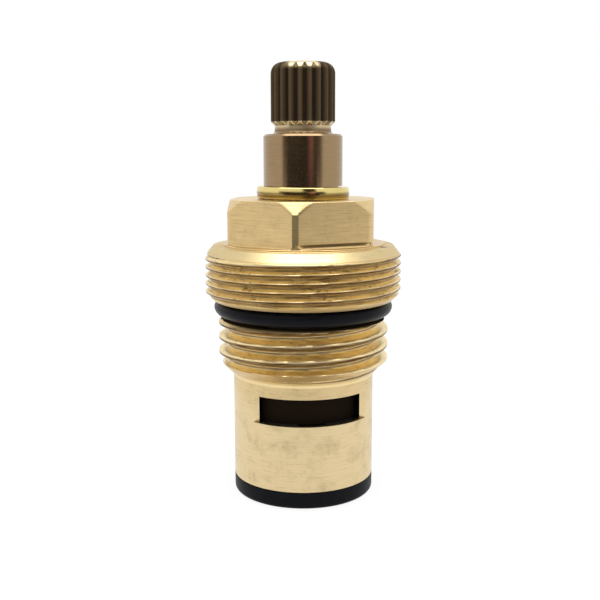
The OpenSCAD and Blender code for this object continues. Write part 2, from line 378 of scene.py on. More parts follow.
def new_material(name: str) -> tuple[bpy.types.Material, bpy.types.NodeTree, bpy.types.NodeSocket]:
    """Empty material with its Object coordinates in millimetres.

    Args:
        name: Name of the material.

    Returns:
        The material, its node tree and the socket of the coordinates.
    """
    material, tree = blank_material(name)
    place = add(tree, "TexCoord")
    scaled = add(tree, "VectorMath", {0: place.outputs["Object"], "Scale": 1 / MM}, operation="SCALE")
    return material, tree, scaled.outputs["Vector"]


def blend_colours(
        tree: bpy.types.NodeTree, share: object, first: object, second: object) -> bpy.types.NodeSocket:
    """Goes from a first colour to a second by a share from nothing to one.

    Args:
        tree: Tree that gets the node.
        share: Share of the second colour, as a number or socket.
        first: Colour or socket at nothing.
        second: Colour or socket at one.

    Returns:
        Socket of the blended colour.
    """
    inputs = {MIX_FACTOR: share, MIX_FIRST: first, MIX_SECOND: second}
    return add(tree, "Mix", inputs, data_type="RGBA").outputs[MIX_COLOUR]


def coat(tree: bpy.types.NodeTree, relief: bpy.types.NodeSocket, depth: float, inputs: dict) -> None:
    """Ends a finish: a shader with a fine relief, and the output.

    Args:
        tree: Tree of the finish.
        relief: Socket of the relief's pattern.
        depth: Depth of the relief in millimetres.
        inputs: The shader's other inputs by name.
    """
    bump = add(tree, "Bump", {"Strength": 1.0, "Distance": depth * MM, "Height": relief}).outputs[0]
    shader = add(tree, "BsdfPrincipled", {**inputs, "Normal": bump}).outputs[0]
    add(tree, "OutputMaterial", {"Surface": shader})


@dataclass(frozen=True)
class TurnedBrass:
    """Free-cutting brass from the lathe: fine marks round the axis, smudges of tarnish, stain and dirt.

    The marks spread a reflection up and down and draw faint level streaks, the smudges break up its even
    tone, the stain draws thin broken lines of stain and painted shade in thread roots and painted dark
    reflection on crests, the dirt lies in clumps of small dark specks, painted highlights are paler and
    painted shade darker.
    """

    name: str
    metal: str
    cut_metal: str
    worn_metal: str
    tarnish: str
    stain: str
    shade: str
    roughness: float
    tarnish_share: float
    streak_share: float
    stain_share: float
    # Real feed lines are about 0.1 mm apart, and these are wider so that they show
    line_mm: float = 0.26
    line_depth_mm: float = 0.004
    streak_mm: float = 3.0
    streak_ratio: float = 24.0
    smudge_mm: float = 2.4
    dirt_mm: float = 0.5
    # Levels of a pattern between which each kind of mark comes in
    smudge_levels: tuple[float, float] = (0.48, 0.75)
    streak_levels: tuple[float, float] = (0.35, 0.7)
    speck_levels: tuple[float, float] = (0.57, 0.64)
    dirt_levels: tuple[float, float] = (0.55, 0.63)
    clump_levels: tuple[float, float] = (0.44, 0.6)
    line_levels: tuple[float, float] = (0.36, 0.6)
    mark_levels: tuple[float, float] = (0.3, 0.7)
    # Rise of the normal at which the marks go from rings up a side to rings within a level face
    face_levels: tuple[float, float] = (0.9, 0.97)
    # Share of a stained line that shows where it is broken
    broken_share: float = 0.75
    # Share of the streaks that shows on metal that isn't freshly cut, and of the smudges that a cut loses
    smooth_share: float = 0.2
    cut_loss: float = 0.8
    # The lines vary the roughness by this share, and tarnish and specks add up to this much to it
    line_roughness: float = 0.15
    film_roughness: float = 0.15
    fleck_roughness: float = 0.04
    # Brass under painted shade, and the spline's dark rolled film, is rough, hardly a metal to the eye, and
    # gives back little light
    soot_roughness: float = 0.85
    soot_loss: float = 0.9
    shaded_specular: float = 0.05

    def material(self) -> bpy.types.Material:
        """Builds the material.

        Returns:
            A metal that reads five numbers of the mesh: root for lines of stain and of painted shade and
            painted dark reflection, fleck for specks of stain and dirt, cut for a golden fresh cut, worn for
            a painted highlight, and soot for painted shade and the spline's dark film.
        """
        material, tree, place = new_material(self.name)
        axes = add(tree, "SeparateXYZ", {0: place}).outputs
        level = add(tree, "CombineXYZ", {"X": axes["X"], "Y": axes["Y"]}).outputs[0]
        radius = add(tree, "VectorMath", {0: level}, operation="LENGTH").outputs["Value"]
        normal = add(tree, "NewGeometry").outputs["Normal"]
        upward = add(tree, "SeparateXYZ", {0: normal}).outputs["Z"]
        level_share = add(tree, "Math", {0: upward}, operation="ABSOLUTE").outputs[0]
        low, high = self.face_levels
        is_face = add(tree, "MapRange", {"Value": level_share, "From Min": low, "From Max": high}).outputs[0]
        along = add(tree, "Mix", {
            MIX_FACTOR: is_face, MIX_LOW: axes["Z"], MIX_HIGH: radius}).outputs[MIX_NUMBER]
        lines = add(tree, "TexNoise", {
            "W": along, "Scale": 1 / self.line_mm, "Detail": 4.0, "Roughness": 0.7},
            noise_dimensions="1D").outputs[0]
        flattened = add(tree, "VectorMath", {
            0: place, 1: (1.0, 1.0, self.streak_ratio)}, operation="MULTIPLY").outputs[0]
        streaks, smudges, grit = (
            add(tree, "TexNoise", {
                "Vector": vector, "Scale": 1 / size, "Detail": detail, "Roughness": fineness}).outputs[0]
            for vector, size, detail, fineness in (
                (flattened, self.streak_mm, 5.0, 0.65), (place, self.smudge_mm, 6.0, 0.62),
                (place, self.dirt_mm, 3.0, 0.6)))
        root, fleck, cut, worn, soot = (
            add(tree, "Attribute", attribute_name=key).outputs["Fac"]
            for key in ("root", "fleck", "cut", "worn", "soot"))

        dull, fine, speck, pits, clump, broken = (
            add(tree, "MapRange", {
                "Value": pattern, "From Min": low, "From Max": high, "To Min": least,
                "To Max": most}).outputs[0]
            for pattern, (low, high), least, most in (
                (smudges, self.smudge_levels, 0.0, self.tarnish_share),
                (streaks, self.streak_levels, 0.0, self.streak_share),
                (streaks, self.speck_levels, 0.0, self.stain_share),
                (grit, self.dirt_levels, 0.0, self.stain_share),
                (smudges, self.clump_levels, 0.0, 1.0),
                (streaks, self.line_levels, self.broken_share, 1.0)))
        ruled = add(tree, "MapRange", {"Value": cut, "To Min": self.smooth_share}).outputs[0]
        clean = add(tree, "Math", {0: cut, 1: -self.cut_loss, 2: 1.0}, operation="MULTIPLY_ADD").outputs[0]
        cloud = add(tree, "Math", {0: dull, 1: clean}, operation="MULTIPLY").outputs[0]
        film = add(tree, "Math", {
            0: fine, 1: ruled, 2: cloud}, operation="MULTIPLY_ADD", use_clamp=True).outputs[0]
        dirt = add(tree, "Math", {0: pits, 1: clump}, operation="MULTIPLY").outputs[0]
        dark = add(tree, "Math", {0: speck, 1: dirt}, operation="MAXIMUM").outputs[0]
        spot = add(tree, "Math", {0: dark, 1: fleck}, operation="MULTIPLY").outputs[0]
        # The line is stain and painted shade in thread roots, painted dark reflection on crests, and painted
        # shade on the clip's lower half
        line = add(tree, "Math", {0: root, 1: broken}, operation="MULTIPLY").outputs[0]
        marks = add(tree, "Math", {0: line, 1: spot}, operation="MAXIMUM", use_clamp=True).outputs[0]

        # Blends in turn the fresh cut, tarnish, the painted highlight, stain lines and specks, and painted
        # shade with the spline's film
        colour = linear(self.metal)
        for share, tone in ((cut, self.cut_metal), (film, self.tarnish), (worn, self.worn_metal),
                            (marks, self.stain), (soot, self.shade)):
            colour = blend_colours(tree, share, colour, linear(tone))
        low, high = self.mark_levels
        rough = add(tree, "MapRange", {
            "Value": lines, "From Min": low, "From Max": high,
            "To Min": self.roughness * (1 - self.line_roughness),
            "To Max": self.roughness * (1 + self.line_roughness)}).outputs[0]
        for share, more in ((film, self.film_roughness), (fleck, self.fleck_roughness)):
            rough = add(tree, "Math", {0: share, 1: more, 2: rough}, operation="MULTIPLY_ADD").outputs[0]
        rough = add(tree, "Mix", {
            MIX_FACTOR: soot, MIX_LOW: rough, MIX_HIGH: self.soot_roughness}).outputs[MIX_NUMBER]
        metallic = add(tree, "Math", {
            0: soot, 1: -self.soot_loss, 2: 1.0}, operation="MULTIPLY_ADD").outputs[0]
        coat(tree, lines, self.line_depth_mm, {
            "Base Color": colour, "Metallic": metallic, "Roughness": rough,
            "Specular IOR Level": self.shaded_specular})
        return material


@dataclass(frozen=True)
class MouldedRubber:
    """Black nitrile rubber from a polished mould: a soft sheen with a faint grain and a little dust."""

    name: str
    rubber: str = "#090a0f"
    dust: str = "#1e2026"
    roughness: float = 0.42
    # Black, oily rubber gives back less than a clean surface of its index would
    sheen_level: float = 0.08
    grain_mm: float = 0.3
    grain_depth_mm: float = 0.004
    dust_mm: float = 1.1
    dust_levels: tuple[float, float] = (0.5, 0.8)
    dust_share: float = 0.4
    dust_roughness: float = 0.5

    def material(self) -> bpy.types.Material:
        """Builds the material.

        Returns:
            A dark dielectric with grain and dust.
        """
        material, tree, place = new_material(self.name)
        grain = add(tree, "TexNoise", {"Vector": place, "Scale": 1 / self.grain_mm, "Detail": 3.0}).outputs[0]
        film = add(tree, "TexNoise", {
            "Vector": place, "Scale": 1 / self.dust_mm, "Detail": 5.0, "Roughness": 0.7}).outputs[0]
        low, high = self.dust_levels
        dusty = add(tree, "MapRange", {
            "Value": film, "From Min": low, "From Max": high, "To Max": self.dust_share}).outputs[0]
        colour = blend_colours(tree, dusty, linear(self.rubber), linear(self.dust))
        rough = add(tree, "Math", {
            0: dusty, 1: self.dust_roughness, 2: self.roughness}, operation="MULTIPLY_ADD").outputs[0]
        coat(tree, grain, self.grain_depth_mm, {
            "Base Color": colour, "Roughness": rough, "Specular IOR Level": self.sheen_level})
        return material


@dataclass(frozen=True)
class PaleSolid:
    """Sintered alumina or moulded acetal: a smooth body with faint clouds and a fine grain."""

    name: str
    pale: str
    cloud: str
    roughness: float
    cloud_mm: float = 1.5
    grain_mm: float = 0.25
    grain_depth_mm: float = 0.002
    grain_roughness: float = 0.12

    def material(self) -> bpy.types.Material:
        """Builds the material.

        Returns:
            A pale dielectric with clouds and grain.
        """
        material, tree, place = new_material(self.name)
        cloud = add(tree, "TexNoise", {"Vector": place, "Scale": 1 / self.cloud_mm, "Detail": 4.0}).outputs[0]
        grain = add(tree, "TexNoise", {"Vector": place, "Scale": 1 / self.grain_mm, "Detail": 2.0}).outputs[0]
        colour = blend_colours(tree, cloud, linear(self.pale), linear(self.cloud))
        rough = add(tree, "Math", {
            0: grain, 1: self.grain_roughness, 2: self.roughness}, operation="MULTIPLY_ADD").outputs[0]
        coat(tree, grain, self.grain_depth_mm, {"Base Color": colour, "Roughness": rough})
        return material


# Its shade colour is painted shade, and its stain colour marks specks and the threads' dark bands
BODY_BRASS = TurnedBrass(
    name="free-cutting brass, turned and milled", metal="#e3cda0", cut_metal="#dfbf84", worn_metal="#f6dfa8",
    tarnish="#a8966c", stain="#4f3018", shade="#130c08", roughness=0.3, tarnish_share=0.42, streak_share=0.48,
    stain_share=0.75)
# Its shade colour is painted shade and the spline's dark film
SPINDLE_BRASS = TurnedBrass(
    name="darkened brass, turned and rolled", metal="#9f8664", cut_metal="#9f8664", worn_metal="#e9d6ac",
    tarnish="#7c6650", stain="#4a3226", shade="#1a120b", roughness=0.16, tarnish_share=0.2, streak_share=0.3,
    stain_share=0.1, line_mm=0.2, line_depth_mm=0.0025, smooth_share=1.0)
# Its stain colour serves only as painted shade on the clip's lower half
CLIP_BRASS = TurnedBrass(
    name="hard brass strip, drawn bright", metal="#e4cf86", cut_metal="#e4cf86", worn_metal="#f2e2a8",
    tarnish="#b39a56", stain="#5b3c1a", shade="#33240f", roughness=0.14, tarnish_share=0.3, streak_share=0.1,
    stain_share=0.15, line_depth_mm=0.001)
SUPPORT_BRASS = TurnedBrass(
    name="brass tube, drawn and cut", metal="#d3b577", cut_metal="#d3b577", worn_metal="#ecd9a8",
    tarnish="#978a5f", stain="#5f3a1c", shade="#1a100a", roughness=0.28, tarnish_share=0.5, streak_share=0.2,
    stain_share=0.3)
O_RING_RUBBER = MouldedRubber("nitrile rubber, moulded and greased", roughness=0.32)
SEAL_RUBBER = MouldedRubber("nitrile rubber, moulded")
ALUMINA = PaleSolid("alumina, sintered and lapped", pale="#f1eee6", cloud="#e2ded3", roughness=0.2)
# The moving disc is painted dark as shade, so no white shows in the windows
SHADED_ALUMINA = PaleSolid("alumina, sintered, in painted shade", pale="#1d1611", cloud="#120d0a", roughness=0.75)
ACETAL = PaleSolid("acetal, moulded", pale="#ece8db", cloud="#ddd8c8", roughness=0.42)


@dataclass(frozen=True)
class Thread:
    """Helical thread that climbs one pitch in each anticlockwise turn."""

    major: float
    depth: float
    pitch: float
    crest_flat: float
    root_flat: float
    # Height of a crest at the right-hand edge of the view, measured there
    crest_height: float
    softness: float
    # A painted dark reflection lies between these distances above a crest's middle, and stain with painted
    # shade within the third of a root's
    dark_crest_low: float = 0.0
    dark_crest_high: float = 0.0
    root_half: float = 0.0
    # Distance over which the dark bands end, and that for a root's band on the flank below it
    band_ramp: float = 0.07
    root_ramp: float = 0.07
    # Nicks in the crests: their depth for each unit of a sum of waves of these rates above this value
    wear: float = 0.0
    nick_rates: tuple[float, ...] = (7.3, 11.9, 17.7, 29.3, 43.1)
    nick_start: float = 1.2
    # Highest level that the groove reaches before it runs out
    stop: float = math.inf
    run_out: float = 0.25

    def turn(self, angle: np.ndarray, height: np.ndarray) -> np.ndarray:
        """Number of turns above the measured crest, which a helix keeps the same along its length."""
        return (height - self.crest_height) / self.pitch - (angle - RIGHT_ANGLE) / (2 * math.pi)

    def recess(self, angle: np.ndarray, height: np.ndarray) -> np.ndarray:
        """Share of the thread's depth, from nothing on a crest to one in a root.

        The distance along the axis from the nearest crest, less half the crest's flat, is divided by the
        flank's height, and a share of it is eased by a half cosine, which rounds the crests and roots. The
        groove runs out where its root comes near the level at which it stops.

        Args:
            angle: Angle of each point.
            height: Height of each point.

        Returns:
            The share for each point.
        """
        turn = self.turn(angle, height)
        away = np.abs(turn - np.round(turn)) * self.pitch
        flank = (self.pitch - self.crest_flat - self.root_flat) / 2
        straight = np.clip((away - self.crest_flat / 2) / flank, 0, 1)
        eased = 0.5 - 0.5 * np.cos(math.pi * straight)
        root = height - (turn - np.floor(turn) - 0.5) * self.pitch
        rounded = straight + self.softness * (eased - straight)
        return rounded * np.clip((self.stop - root) / self.run_out, 0, 1)

    def dark_bands(self, angle: np.ndarray, height: np.ndarray) -> tuple[np.ndarray, np.ndarray]:
        """Shares of painted dark reflection on the crests, and of stain with painted shade in the roots.

        Each is one inside its band, measured along the axis from the nearest crest or root, and fades out
        over a ramp, which has its own length on the flank below a root.

        Args:
            angle: Angle of each point.
            height: Height of each point.

        Returns:
            The shares of the crests' and the roots' dark bands for each point.
        """
        turn = self.turn(angle, height)
        above = (turn - np.round(turn)) * self.pitch
        crest = np.minimum(self.dark_crest_high - above, above - self.dark_crest_low)
        beyond = self.pitch / 2 - np.abs(above) - self.root_half
        root = 1 - beyond / np.where(above > 0, self.root_ramp, self.band_ramp)
        return np.clip(crest / self.band_ramp, 0, 1), np.clip(root, 0, 1)

    def nicks(self, angle: np.ndarray, height: np.ndarray) -> np.ndarray:
        """Depth that wear takes off the crests: the tops of a sum of sine waves, whose phases change at each
        turn.
        """
        number = np.round(self.turn(angle, height))
        way = angle + 2 * math.pi * number
        waves = sum(np.sin(rate * way + rate) for rate in self.nick_rates)
        return self.wear * np.clip(waves - self.nick_start, 0, None)

    def radius(self, angle: np.ndarray, height: np.ndarray) -> np.ndarray:
        """Distance of the surface from the axis: the major radius less the recess and the crests' wear."""
        recess = self.recess(angle, height)
        return self.major - self.depth * recess - self.nicks(angle, height) * (1 - recess)


@dataclass
class HeadworkBody:
    """One brass turning with the spanner hex, two outside threads and the windowed disc housing."""

    span: Extent = extent_field("headwork_body")
    rim_round: float = 0.16
    housing_r: float = 8.7
    housing_wall: float = 0.55
    housing_len: float = 13.4
    foot_round: float = 0.6
    foot_step: float = 0.4
    valve_len: float = 6.45
    valve_tail: float = 0.3
    groove_r: float = 8.5
    groove_len: float = 2.35
    shroud_len: float = 6.65
    shroud_bevel: float = 0.95
    shroud_bevel_height: float = 1.2
    hex_apothem: float = 8.6
    hex_corner_r: float = 9.75
    hex_bevel: float = 0.8
    hex_bevel_slope: float = math.tan(math.radians(30))
    hex_height: float = 5.35
    collar_r: float = 10.0
    hex_turn: float = math.radians(16.5)
    flat_fillet: float = 0.22
    # The cutter left a slot at the foot of the flat to the right of the front corner
    slot_centre: float = CAMERA_ANGLE + math.radians(25)
    slot_half: float = math.radians(29)
    slot_ramp: float = math.radians(6)
    slot_depth: float = 0.3
    slot_height: float = 0.34
    edge: float = 0.06
    land_edge: float = math.radians(0.15)
    bore_r: float = 4.85
    mouth_bevel: float = 0.25
    face_ring: float = 2.0
    collar_seat_r: float = 6.1
    collar_seat_drop: float = 16.65
    chamber_drop: float = 19.65
    window_low: float = 8.1
    window_height: float = 3.3
    window_flat: float = 5.4
    # The block that mills a window reaches this many times the housing's radius
    cutter_reach: float = 1.3
    lug_inner_r: float = 6.3
    lug_height: float = 2.7
    lug_angle: float = math.radians(45)
    lug_half: float = math.radians(6)
    key_depth: float = 0.75
    key_half_width: float = 1.0
    key_top: float = 4.8
    overlap: float = 0.2
    columns_per_flat: int = 54
    valve_rows: int = 76
    shroud_rows: int = 112
    # Share of the golden cut colour on the hex and the threads
    hex_cut: float = 0.75
    thread_cut: float = 1.0
    # Height below the valve thread over which the housing turns golden, and its share there
    gilt_height: float = 4.0
    gilt: float = 0.6
    # Shares of specks on the two threads and elsewhere, of painted dark reflection on their crests, and of
    # stain with painted shade in their roots
    valve_fleck: float = 0.45
    shroud_fleck: float = 1.0
    plain_fleck: float = 0.16
    crest_dark_reflection: float = 1.0
    root_stain_and_shade: float = 0.9
    # Shares of painted shade in the slot, on the hex's corner, beside the O-ring and at the ends of the land
    slot_soot: float = 0.5
    corner_soot: float = 0.75
    ring_soot: float = 0.85
    land_soot: float = 0.3
    # Half the angle round the camera over which the land keeps its painted highlight, and the angle over
    # which painted shade comes in
    land_half: float = math.radians(20)
    land_ramp: float = math.radians(16)
    # Share of painted highlight on the thread flanks, and how much of it goes towards a root
    valve_worn: float = 1.0
    shroud_worn: float = 0.9
    root_dull: float = 0.1
    # Shares of painted highlight on the housing's fillet, the flange's land, the hex's bevel and the windows'
    # ends
    fillet_worn: float = 0.8
    land_worn: float = 0.9
    bevel_worn: float = 0.3
    window_worn: float = 0.35
    valve: Thread = Thread(
        major=10.4775, depth=1.162, pitch=1.814, crest_flat=0.36, root_flat=0.3, crest_height=18.722,
        softness=0.8, dark_crest_low=-0.5, dark_crest_high=0.07, root_half=0.08, root_ramp=0.1, wear=0.012)
    shroud: Thread = Thread(
        major=12.0, depth=0.6135, pitch=1.0, crest_flat=0.16, root_flat=0.12, crest_height=27.77,
        softness=0.4, dark_crest_low=-0.22, dark_crest_high=0.1, root_half=0.035, wear=0.012, stop=29.9)

    @property
    def valve_level(self) -> float:
        """Level at which the valve thread starts."""
        return self.span.low + self.housing_len

    @property
    def groove_level(self) -> float:
        """Level at which the O-ring's groove starts."""
        return self.valve_level + self.valve_len

    @property
    def foot_level(self) -> float:
        """Level of the hex's foot."""
        return self.span.high - self.hex_height

    def on_thread(
            self, thread: Thread, radius: np.ndarray, angle: np.ndarray, height: np.ndarray) -> np.ndarray:
        """Whether each place lies on a thread's surface, below the hex."""
        return (np.abs(radius - thread.radius(angle, height)) < self.edge) & (height < self.foot_level)

    def on_land(self, radius: np.ndarray, height: np.ndarray) -> np.ndarray:
        """Whether each place lies on the bevelled land above the shroud thread."""
        level = (height > self.foot_level - self.shroud_bevel_height) & (height < self.foot_level)
        return level & (radius > self.collar_r + self.edge)

    def columns(self) -> np.ndarray:
        """Angles of the grid's columns.

        Each sixth of a turn starts on a hex corner, has a close pair of columns at each side of the corner's
        turned land, and is even between them.

        Returns:
            Angles in radians, in rising order.
        """
        sixth = math.pi / 3
        land = math.pi / 6 - math.acos(self.hex_apothem / self.hex_corner_r)
        near = np.array([land - self.land_edge, land + self.land_edge])
        even = np.linspace(near[1], sixth - near[1], self.columns_per_flat)[1:-1]
        one = np.concatenate([[0.0], near, even, sixth - near[::-1]])
        return (one[None, :] + sixth * np.arange(6)[:, None]).ravel() + self.hex_turn

    def hexagon(self, angle: np.ndarray) -> np.ndarray:
        """Distance of the hex from the axis: its apothem over the cosine of the angle off a flat's middle."""
        off = np.mod(angle - self.hex_turn, math.pi / 3) - math.pi / 6
        return self.hex_apothem / np.cos(off)

    def slot(self, angle: np.ndarray, steps: int) -> np.ndarray:
        """Depth of the slot at the foot of one flat.

        It rises and falls as half a sine wave up its height, and fades out over a ramp at both ends.

        Args:
            angle: Angle of each column.
            steps: Number of rows up the slot.

        Returns:
            Depth for each row and column.
        """
        rise = np.sin(np.linspace(0, math.pi, steps))[:, None]
        ends = np.clip((self.slot_half - apart(angle, self.slot_centre)) / self.slot_ramp, 0, 1)
        return self.slot_depth * rise * ends

    def profile(self) -> dict[str, np.ndarray]:
        """Turned profile without threads and flats, from the rim up the outside and down the bores.

        Returns:
            Stretches of the profile by name, in order, as distance from the axis and height.
        """
        rim = self.span.low
        valve = self.valve_level
        groove = self.groove_level
        flange = groove + self.groove_len
        shoulder = flange + self.shroud_len
        top = self.span.high
        foot = self.foot_level
        flat = foot + self.flat_fillet
        bore = self.housing_r - self.housing_wall
        mouth = self.bore_r + self.mouth_bevel
        lead = self.housing_r + self.foot_step
        valve_z = np.linspace(valve, groove, self.valve_rows)
        valve_r = np.minimum.reduce([
            lead + valve_z - valve, np.full_like(valve_z, self.valve.major),
            self.valve.major - self.valve_tail + groove - valve_z])
        shroud_z = np.linspace(flange, shoulder, self.shroud_rows)
        slope = self.shroud_bevel / self.shroud_bevel_height
        rise = np.minimum(shroud_z - flange, (shoulder - shroud_z) * slope)
        shroud_r = self.shroud.major - np.maximum(self.shroud_bevel - rise, 0)
        bevel_h = self.hex_bevel / self.hex_bevel_slope
        bevel_z = np.linspace(top - bevel_h, top - self.edge, 12)
        bevel_r = self.hex_corner_r - (bevel_z - top + bevel_h) * self.hex_bevel_slope
        return {
            "rim": np.array([(bore, rim + self.edge), (bore + self.edge, rim)]),
            "rim_edge": arc(
                (self.housing_r - self.rim_round, rim + self.rim_round), self.rim_round, -90, 0, 5),
            "housing": upright(self.housing_r, rim + 2 * self.rim_round, valve - 2 * self.foot_round, 12),
            "foot": arc(
                (self.housing_r + self.foot_round, valve - self.foot_round), self.foot_round, 180, 112, 9),
            "valve": np.stack([valve_r, valve_z], axis=1),
            "groove": np.array([(self.groove_r, groove), (self.groove_r, flange)]),
            "shroud": np.stack([shroud_r, shroud_z], axis=1),
            "collar": np.array([
                (self.collar_r + self.edge, shoulder), (self.collar_r, shoulder + self.edge),
                (self.collar_r, foot - self.edge), (self.collar_r - self.edge, foot)]),
            "fillet": arc((self.flat_fillet, flat), self.flat_fillet, -90, -180, 6),
            "slot": upright(self.hex_corner_r, flat, flat + self.slot_height, 11),
            "flats": upright(
                self.hex_corner_r, flat + self.slot_height + self.edge, bevel_z[0] - self.edge, 6),
            "bevel": np.stack([bevel_r, bevel_z], axis=1),
            "top": np.array([(bevel_r[-1] - self.edge, top)]),
            "face": np.array([(mouth + self.face_ring, top), (mouth, top)]),
            "bore": np.array([
                (self.bore_r, top - self.mouth_bevel), (self.bore_r, top - self.collar_seat_drop),
                (self.collar_seat_r, top - self.collar_seat_drop),
                (self.collar_seat_r, top - self.chamber_drop), (bore, top - self.chamber_drop)]),
        }

    def mesh(self) -> bpy.types.Mesh:
        """Turns the profile and cuts it back to the threads and flats.

        The distance from the axis is the smaller of the profile's and the thread's or the hex's at that
        angle. The fillet and the top edge follow the hex outwards and inwards by their own size.

        Returns:
            Closed mesh without windows.
        """
        angle = self.columns()[None, :]
        rows, radius, height = unrolled(self.profile(), angle.size)
        hexagon = self.hexagon(angle)
        for key, thread in (("valve", self.valve), ("shroud", self.shroud)):
            radius[rows[key]] = np.minimum(radius[rows[key]], thread.radius(angle, height[rows[key]]))
        radius[rows["fillet"]] = np.minimum(self.hex_corner_r - self.edge, radius[rows["fillet"]] + hexagon)
        for key in ("slot", "flats", "bevel"):
            radius[rows[key]] = np.minimum(radius[rows[key]], hexagon)
        radius[rows["slot"]] -= self.slot(angle, len(radius[rows["slot"]]))
        radius[rows["top"]] = np.minimum(radius[rows["top"]], hexagon - self.edge)
        return grid_mesh("headwork_body", turned(radius, height, angle), loop_rows=True)

    def paint(self, mesh: bpy.types.Mesh) -> None:
        """Marks the threads' dark bands, specks and fresh cuts by point, and painted highlights and painted
        shade by face.

        Args:
            mesh: The body's finished mesh.
        """
        radius, angle, height = polar(places(mesh))
        root = np.zeros_like(radius)
        fleck = np.full_like(radius, self.plain_fleck)
        for thread, specks in ((self.valve, self.valve_fleck), (self.shroud, self.shroud_fleck)):
            on_thread = self.on_thread(thread, radius, angle, height)
            # Painted dark reflection on the crests, and stain with painted shade in the roots
            on_crest, in_root = thread.dark_bands(angle, height)
            stain = np.maximum(self.root_stain_and_shade * in_root, self.crest_dark_reflection * on_crest)
            root = np.where(on_thread, stain, root)
            fleck = np.where(on_thread, specks, fleck)
        gilt = self.gilt * np.clip((height - self.valve_level + self.gilt_height) / self.gilt_height, 0, 1)
        cut = np.select(
            [height < self.valve_level, height < self.foot_level], [gilt, self.thread_cut], self.hex_cut)
        mark(mesh, Domain.POINT, root=root, fleck=fleck, cut=cut)
        mark(mesh, Domain.FACE, worn=self.painted_highlight(mesh), soot=self.painted_shade(mesh))

    def painted_highlight(self, mesh: bpy.types.Mesh) -> np.ndarray:
        """Share of painted highlight on each face.

        Thread flanks, the housing's top fillet, the flange's bevel, the hex's bevelled corners and top, and
        the milled ends of the windows are painted paler than the rest, as highlights.

        Args:
            mesh: The body's finished mesh.

        Returns:
            The share for each face.
        """
        middle, normal = faces(mesh)
        radius, angle, height = polar(middle)
        valve = self.valve_level
        worn = np.zeros_like(radius)
        for thread, share in ((self.valve, self.valve_worn), (self.shroud, self.shroud_worn)):
            lighter = share * (1 - self.root_dull * thread.recess(angle, height))
            worn = np.where(self.on_thread(thread, radius, angle, height), lighter, worn)
        fillet = (height > valve - self.foot_round) & (height < valve) & (radius > self.housing_r - self.edge)
        land = self.on_land(radius, height)
        bevel = (height > self.foot_level + self.hex_height / 2) & (normal[:, 2] > UPWARD)
        low = self.span.low + self.window_low
        milled = (np.abs(normal[:, 1]) > SQUARE_ON) & (height > low) & (height < low + self.window_height)
        milled &= radius > self.housing_r - self.housing_wall
        # Painted highlights on the fillet, the land, the hex's upward bevels and the windows' milled ends
        shares = [self.fillet_worn, self.land_worn, self.bevel_worn, self.window_worn]
        return np.select([fillet, land, bevel, milled], shares, worn)

    def painted_shade(self, mesh: bpy.types.Mesh) -> np.ndarray:
        """Share of painted shade on each face.

        It covers the inside, lies beside the O-ring and in the slot at the hex's foot, and darkens the hex's
        corner nearest the camera and the ends of the flange's land, as painted shade and painted dark
        reflection.

        Args:
            mesh: The body's finished mesh.

        Returns:
            The share for each face.
        """
        middle, normal = faces(mesh)
        radius, angle, height = polar(middle)
        outward = (middle[:, 0] * normal[:, 0] + middle[:, 1] * normal[:, 1]) / radius
        bore = self.housing_r - self.housing_wall
        inside = (radius < bore + self.edge) & (outward < OUTWARD) & (height < self.span.high - self.edge)
        foot = self.foot_level + self.flat_fillet
        in_slot = (height > foot) & (height < foot + self.slot_height)
        in_slot &= radius < self.hexagon(angle) - self.slot_depth / 3
        off = apart(angle, CAMERA_ANGLE)
        corner = (height > foot) & (radius > self.hex_corner_r - self.edge / 3)
        corner &= (outward > UPRIGHT) & (off < math.pi / 6)
        land = self.on_land(radius, height)
        dull = self.land_soot * np.clip((off - self.land_half) / self.land_ramp, 0, 1)
        groove = self.groove_level
        beside = (height > groove - 2 * self.valve_tail) & (height < groove + self.groove_len)
        on_top = (normal[:, 2] > UPWARD) & (radius < self.valve.major - self.valve_tail)
        beside &= (radius < self.groove_r + self.edge) | on_top
        # Painted shade inside, in the slot, on the corner, beside the O-ring and at the land's ends
        shares = [1.0, self.slot_soot, self.corner_soot, self.ring_soot, dull]
        return np.select([inside, in_slot, corner, beside, land], shares, 0.0)

    def window(self, turn: float) -> bpy.types.Mesh:
        """Block that mills one outlet window: a rectangle in plan, carried from the sill to the head."""
        low = self.span.low + self.window_low
        reach = self.housing_r * self.cutter_reach
        near = self.window_flat
        plan = np.array([(-reach, near), (reach, near), (reach, reach), (-reach, reach)])
        spin = np.array([(math.cos(turn), math.sin(turn)), (-math.sin(turn), math.cos(turn))])
        plan = plan @ spin
        level = np.array([low, low, low + self.window_height, low + self.window_height])
        size = np.array([0.0, 1.0, 1.0, 0.0])[:, None, None]
        flat = plan.mean(axis=0) + size * (plan - plan.mean(axis=0))
        points = np.concatenate([flat, np.broadcast_to(level[:, None, None], (4, 4, 1))], axis=2)
        return grid_mesh("window", points)

    def build(self) -> list[bpy.types.Object]:
        """Builds and dresses the body.

        Returns:
            The body as one piece.
        """
        piece = show("brass_body", self.mesh())
        for turn in (0.0, math.pi):
            combine(piece, self.window(turn), Solid.CUT)
        bore = self.housing_r - self.housing_wall + self.overlap
        ceiling = self.span.high - self.chamber_drop
        lug = rounded_box_loop(
            self.lug_inner_r, bore, ceiling - self.lug_height, ceiling + self.overlap, self.edge)
        key = rounded_box_loop(
            bore - self.overlap - self.key_depth, bore, self.span.low + 2 * self.edge,
            self.span.low + self.key_top, self.edge)
        key_half = self.key_half_width / bore
        for turn in (0.0, math.pi):
            for loop, centre, half in ((lug, turn + self.lug_angle, self.lug_half), (key, turn, key_half)):
                combine(piece, sweep_mesh("block", loop, centre - half, centre + half, 9), Solid.JOIN)
        self.paint(piece.data)
        return [dress(piece, BODY_BRASS.material(), Body.HEADWORK, "headwork_body")]


